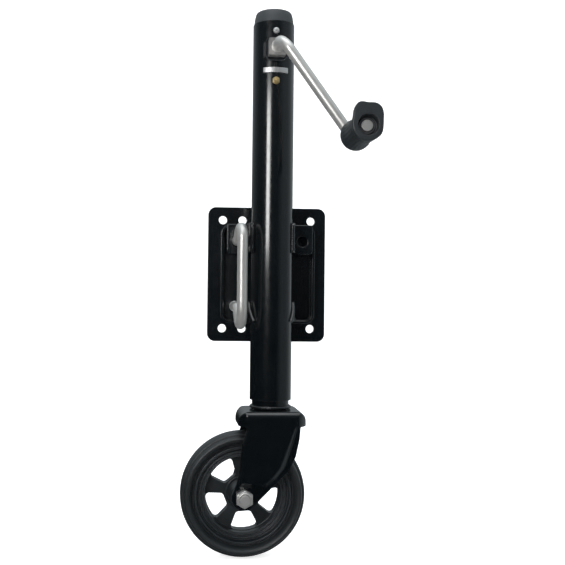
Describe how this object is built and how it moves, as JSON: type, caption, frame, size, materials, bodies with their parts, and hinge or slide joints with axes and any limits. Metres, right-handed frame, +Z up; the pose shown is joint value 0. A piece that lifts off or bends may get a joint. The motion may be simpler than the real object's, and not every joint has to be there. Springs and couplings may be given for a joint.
{
  "type": "trailer tongue jack",
  "caption": "Bolt-on swing-up trailer tongue jack: side-wind crank, telescoping tube, swivelling caster wheel and a spring pull pin that locks the swing.",
  "frame": {"origin": "centre of the rectangular frame bolt pattern, on the back face of the mounting plate, level with the swing pivot", "axes": "+Z up along the jack tube as mounted; +Y from the jack into the trailer frame, square to the plate; +X to the right seen from the crank"},
  "size_m": [0.2095, 0.2199, 0.6691],
  "materials": {
    "black_paint": "gloss black powder coat over steel plate",
    "gloss_black": "gloss black powder coat over steel tube",
    "zinc_steel": "bright zinc plate",
    "dark_steel": "oiled steel",
    "stainless": "satin stainless steel",
    "bronze": "sintered bronze",
    "brass": "turned brass",
    "cap_plastic": "fine moulded texture",
    "grip_plastic": "fine moulded texture",
    "rim_plastic": "satin moulded plastic",
    "tyre_rubber": "smooth solid rubber",
    "bush_plastic": "acetal"
  },
  "bodies": {
    "plate": {"mounting_plate": "black_paint", "pivot_pin": "zinc_steel", "pivot_washer": "bronze", "pivot_lock_washer": "zinc_steel", "pivot_nut": "zinc_steel"},
    "jack": {"swivel_bracket": "black_paint", "pin_guide": "black_paint", "lower_saddle": "black_paint", "outer_tube": "gloss_black", "guide_key": "zinc_steel", "top_cap": "cap_plastic", "cap_screw": "zinc_steel", "shaft_boss": "black_paint", "front_bush": "bronze", "rear_bush": "bronze", "support_plate": "zinc_steel", "thrust_bearing": "zinc_steel", "grease_fitting": "brass", "pin_spring": "zinc_steel"},
    "crank": {"crank_shaft": "zinc_steel", "shaft_clip": "dark_steel", "drive_pinion": "dark_steel", "pinion_pin": "zinc_steel", "crank_block": "stainless", "block_pin": "zinc_steel", "crank_arm": "stainless", "grip_washer": "dark_steel"},
    "grip": {"crank_grip": "grip_plastic"},
    "screw": {"lead_screw": "dark_steel", "bevel_gear": "dark_steel", "gear_pin": "zinc_steel"},
    "leg": {"inner_tube": "gloss_black", "screw_nut": "bronze", "foot_plug": "dark_steel", "kingpin": "zinc_steel", "kingpin_washer": "zinc_steel", "kingpin_nut": "zinc_steel", "swivel_washer": "bronze"},
    "fork": {"caster_fork": "gloss_black", "axle_bolt": "stainless", "axle_nut": "stainless", "axle_sleeve": "zinc_steel", "axle_washers": "zinc_steel"},
    "wheel": {"wheel_rim": "rim_plastic", "tyre": "tyre_rubber", "hub_bushes": "bush_plastic"},
    "pull_pin": {"pull_handle": "stainless", "pin_clip": "dark_steel"}
  },
  "joints": [
    {"name": "jack_swing", "type": "hinge", "parent": "plate", "child": "jack", "pos_m": [0, -0.00875, 0], "axis": [0, 1, 0], "range_deg": [-90, 90]},
    {"name": "pin_pull", "type": "slide", "parent": "jack", "child": "pull_pin", "axis": [0, -1, 0], "range_m": [-0.0045, 0.008], "stiffness_N_per_m": 400, "springref_m": -0.0045, "deforming": ["pin_spring"]},
    {"name": "crank_turn", "type": "hinge", "parent": "jack", "child": "crank", "pos_m": [0, -0.05675, 0.2705], "axis": [0, 1, 0], "range_deg": [0, 27432]},
    {"name": "grip_spin", "type": "hinge", "parent": "crank", "child": "grip", "pos_m": [0.08207, -0.2, 0.15437], "axis": [0, 1, 0], "continuous": true},
    {"name": "screw_turn", "type": "hinge", "parent": "jack", "child": "screw", "pos_m": [0, -0.05675, 0], "axis": [0, 0, 1], "range_deg": [-18289, 0]},
    {"name": "leg_slide", "type": "slide", "parent": "jack", "child": "leg", "axis": [0, 0, -1], "range_m": [0, 0.254]},
    {"name": "fork_swivel", "type": "hinge", "parent": "leg", "child": "fork", "pos_m": [0, -0.05675, -0.1755], "axis": [0, 0, 1], "continuous": true},
    {"name": "wheel_spin", "type": "hinge", "parent": "fork", "child": "wheel", "pos_m": [-0.0335, -0.05675, -0.2693], "axis": [0, 1, 0], "continuous": true}
  ],
  "couplings": [
    {"joint": "screw_turn", "follows": "crank_turn", "ratio": -0.66667},
    {"joint": "leg_slide", "follows": "crank_turn", "m_per_rad": 0.00053052}
  ]
}
